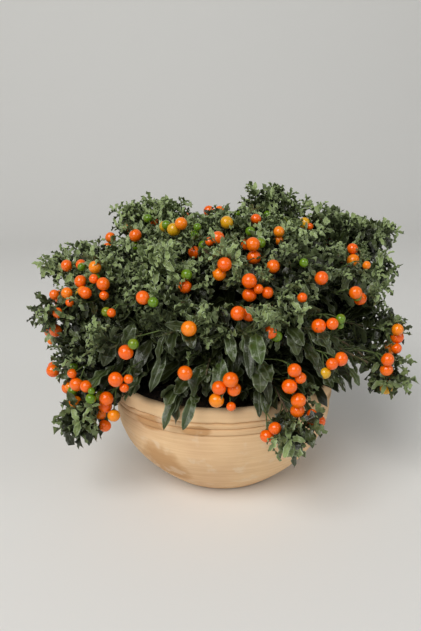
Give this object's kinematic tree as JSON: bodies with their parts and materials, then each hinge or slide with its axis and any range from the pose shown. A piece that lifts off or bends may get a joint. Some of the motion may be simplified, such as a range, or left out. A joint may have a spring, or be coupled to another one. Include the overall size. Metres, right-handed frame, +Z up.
{
  "type": "potted jerusalem cherry",
  "caption": "Bushy evergreen pot plant with small wavy leaves and round orange-red berries, growing in a wide shallow terracotta bowl.",
  "frame": {"origin": "centre of the bowl's flat underside, on the surface that it stands on", "axes": "+Z up, +X to the plant's right as seen from its front, -Y towards the front"},
  "size_m": [0.4179, 0.3427, 0.3158],
  "materials": {
    "terracotta": "matte",
    "potting_soil": "matte",
    "bark": "matte",
    "leafage": "satin",
    "berry_skin": "gloss"
  },
  "bodies": {
    "root": {"terracotta_bowl": "terracotta", "potting_soil": "potting_soil", "stem_middle": "bark", "stem_right": "bark", "stem_back": "bark", "stem_back_left": "bark", "stem_left": "bark", "stem_front": "bark", "leafy_shoot_01": "leafage", "leafy_shoot_02": "leafage", "leafy_shoot_03": "leafage", "leafy_shoot_04": "leafage", "leafy_shoot_05": "leafage", "leafy_shoot_06": "leafage", "leafy_shoot_07": "leafage", "leafy_shoot_08": "leafage", "leafy_shoot_09": "leafage", "leafy_shoot_10": "leafage", "leafy_shoot_11": "leafage", "leafy_shoot_12": "leafage", "leafy_shoot_13": "leafage", "leafy_shoot_14": "leafage", "leafy_shoot_15": "leafage", "leafy_shoot_16": "leafage", "leafy_shoot_17": "leafage", "leafy_shoot_18": "leafage", "leafy_shoot_19": "leafage", "leafy_shoot_20": "leafage", "leafy_shoot_21": "leafage", "leafy_shoot_22": "leafage", "leafy_shoot_23": "leafage", "leafy_shoot_24": "leafage", "leafy_shoot_25": "leafage", "leafy_shoot_26": "leafage", "leafy_shoot_27": "leafage", "leafy_shoot_28": "leafage", "leafy_shoot_29": "leafage", "leafy_shoot_30": "leafage", "leafy_shoot_31": "leafage", "leafy_shoot_32": "leafage", "berry_truss_01": "berry_skin", "berry_truss_02": "berry_skin", "berry_truss_03": "berry_skin", "berry_truss_04": "berry_skin", "berry_truss_05": "berry_skin", "berry_truss_06": "berry_skin", "berry_truss_07": "berry_skin", "berry_truss_08": "berry_skin", "berry_truss_09": "berry_skin", "berry_truss_10": "berry_skin", "berry_truss_11": "berry_skin", "berry_truss_12": "berry_skin", "berry_truss_13": "berry_skin", "berry_truss_14": "berry_skin", "berry_truss_15": "berry_skin", "berry_truss_16": "berry_skin", "berry_truss_17": "berry_skin", "berry_truss_18": "berry_skin", "berry_truss_19": "berry_skin", "berry_truss_20": "berry_skin"}
  },
  "joints": []
}
